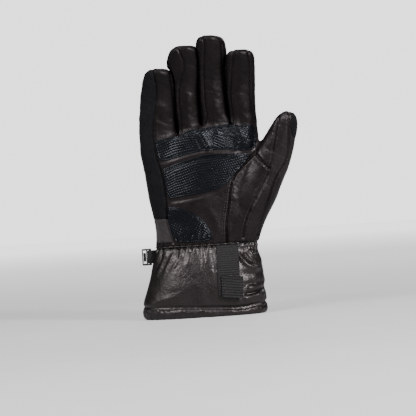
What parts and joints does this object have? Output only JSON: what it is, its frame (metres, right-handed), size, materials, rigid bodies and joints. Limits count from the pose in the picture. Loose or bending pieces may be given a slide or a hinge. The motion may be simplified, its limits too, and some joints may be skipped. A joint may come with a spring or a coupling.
{
  "type": "ski glove",
  "caption": "Right-hand insulated leather ski glove with grip patches, gathered wrist, gauntlet cuff, pull webbing and a pairing clip.",
  "frame": {"origin": "centre of the hand opening, in the plane that the hem stands on", "axes": "+Z from the hem up to the fingertips, palm facing -Y, back of the hand +Y, thumb on the +X side"},
  "size_m": [0.1699, 0.0821, 0.2764],
  "materials": {
    "leather_palm": "semi-gloss",
    "leather_back": "semi-gloss",
    "leather_cuff": "semi-gloss",
    "suede": "matte suede",
    "wipe_suede": "matte suede",
    "grip": "gloss, embossed",
    "gusset_elastic": "matte woven",
    "elastic": "matte",
    "webbing": "ribbed weave",
    "thread": "satin",
    "clip_plastic": "moulded",
    "padding": "matte fibre fill",
    "lining": "brushed fleece"
  },
  "bodies": {
    "hand": {"palm_leather": "leather_palm", "thumb_panel": "leather_palm", "back_leather": "leather_back", "side_strip": "suede", "side_gusset": "gusset_elastic", "hand_padding": "padding", "hand_lining": "lining", "grip_patch_upper": "grip", "grip_patch_middle": "grip", "grip_patch_heel": "grip", "knuckle_pad": "leather_back", "cuff_leather": "leather_cuff", "cuff_padding": "padding", "cuff_lining": "lining", "wrist_elastic": "elastic", "wrist_welt": "leather_cuff", "hem_roll": "leather_cuff", "pull_webbing": "webbing", "webbing_bar_tacks": "thread", "clip_webbing": "webbing"},
    "little_base": {"little_base_leather": "leather_palm", "little_base_padding": "padding", "little_base_lining": "lining", "little_base_side_strip": "suede"},
    "little_tip": {"little_tip_leather": "leather_palm", "little_tip_padding": "padding", "little_tip_lining": "lining", "little_tip_side_strip": "suede"},
    "ring_base": {"ring_base_leather": "leather_palm", "ring_base_padding": "padding", "ring_base_lining": "lining"},
    "ring_tip": {"ring_tip_leather": "leather_palm", "ring_tip_padding": "padding", "ring_tip_lining": "lining"},
    "middle_base": {"middle_base_leather": "leather_palm", "middle_base_padding": "padding", "middle_base_lining": "lining"},
    "middle_tip": {"middle_tip_leather": "leather_palm", "middle_tip_padding": "padding", "middle_tip_lining": "lining"},
    "index_base": {"index_base_leather": "leather_palm", "index_base_padding": "padding", "index_base_lining": "lining"},
    "index_tip": {"index_tip_leather": "leather_palm", "index_tip_padding": "padding", "index_tip_lining": "lining"},
    "thumb_base": {"thumb_base_leather": "leather_palm", "thumb_base_padding": "padding", "thumb_base_lining": "lining"},
    "thumb_tip": {"thumb_tip_leather": "leather_palm", "thumb_tip_padding": "padding", "thumb_tip_lining": "lining", "thumb_wipe_patch": "wipe_suede"},
    "pull_tab": {"pull_tab": "webbing"},
    "clip_frame": {"clip_frame": "clip_plastic"},
    "clip_tongue": {"clip_tongue": "clip_plastic"}
  },
  "joints": [
    {"name": "little_knuckle", "type": "hinge", "parent": "hand", "child": "little_base", "pos_m": [-0.0334, -0.0075, 0.188], "axis": [1, 0, 0], "range_deg": [-10, 60], "stiffness_Nm_per_rad": 0.12},
    {"name": "little_bend", "type": "hinge", "parent": "little_base", "child": "little_tip", "pos_m": [-0.0334, -0.0102, 0.21888], "axis": [1, 0, 0], "range_deg": [-10, 60], "stiffness_Nm_per_rad": 0.08},
    {"name": "ring_knuckle", "type": "hinge", "parent": "hand", "child": "ring_base", "pos_m": [-0.003, -0.0045, 0.195], "axis": [1, 0, 0], "range_deg": [-10, 60], "stiffness_Nm_per_rad": 0.12},
    {"name": "ring_bend", "type": "hinge", "parent": "ring_base", "child": "ring_tip", "pos_m": [-0.003, -0.00781, 0.23286], "axis": [1, 0, 0], "range_deg": [-10, 60], "stiffness_Nm_per_rad": 0.08},
    {"name": "middle_knuckle", "type": "hinge", "parent": "hand", "child": "middle_base", "pos_m": [0.0237, -0.0045, 0.196], "axis": [1, 0, 0], "range_deg": [-10, 60], "stiffness_Nm_per_rad": 0.12},
    {"name": "middle_bend", "type": "hinge", "parent": "middle_base", "child": "middle_tip", "pos_m": [0.0237, -0.00816, 0.23784], "axis": [1, 0, 0], "range_deg": [-10, 60], "stiffness_Nm_per_rad": 0.08},
    {"name": "index_knuckle", "type": "hinge", "parent": "hand", "child": "index_base", "pos_m": [0.051, -0.0055, 0.194], "axis": [1, 0, 0], "range_deg": [-10, 60], "stiffness_Nm_per_rad": 0.12},
    {"name": "index_bend", "type": "hinge", "parent": "index_base", "child": "index_tip", "pos_m": [0.051, -0.00864, 0.22986], "axis": [1, 0, 0], "range_deg": [-10, 60], "stiffness_Nm_per_rad": 0.08},
    {"name": "thumb_swing", "type": "hinge", "parent": "hand", "child": "thumb_base", "pos_m": [0.07371, -0.01051, 0.14802], "axis": [0.8082, -0.373, -0.4558], "range_deg": [-10, 40], "stiffness_Nm_per_rad": 0.12},
    {"name": "thumb_bend", "type": "hinge", "parent": "thumb_base", "child": "thumb_tip", "pos_m": [0.08771, -0.01375, 0.17549], "axis": [0.8082, -0.373, -0.4558], "range_deg": [-10, 50], "stiffness_Nm_per_rad": 0.08},
    {"name": "pull_tab_lift", "type": "hinge", "parent": "hand", "child": "pull_tab", "pos_m": [0.03, -0.03516, 0.0407], "axis": [-1, 0, 0], "range_deg": [0, 70], "stiffness_Nm_per_rad": 0.004},
    {"name": "clip_swing", "type": "hinge", "parent": "hand", "child": "clip_frame", "pos_m": [-0.0504, -0.003, 0.062], "axis": [0, 0, 1], "range_deg": [-70, 70]},
    {"name": "clip_tongue_flex", "type": "hinge", "parent": "clip_frame", "child": "clip_tongue", "pos_m": [-0.05465, -0.003, 0.062], "axis": [0, 0, 1], "range_deg": [-8, 8], "stiffness_Nm_per_rad": 0.02}
  ]
}
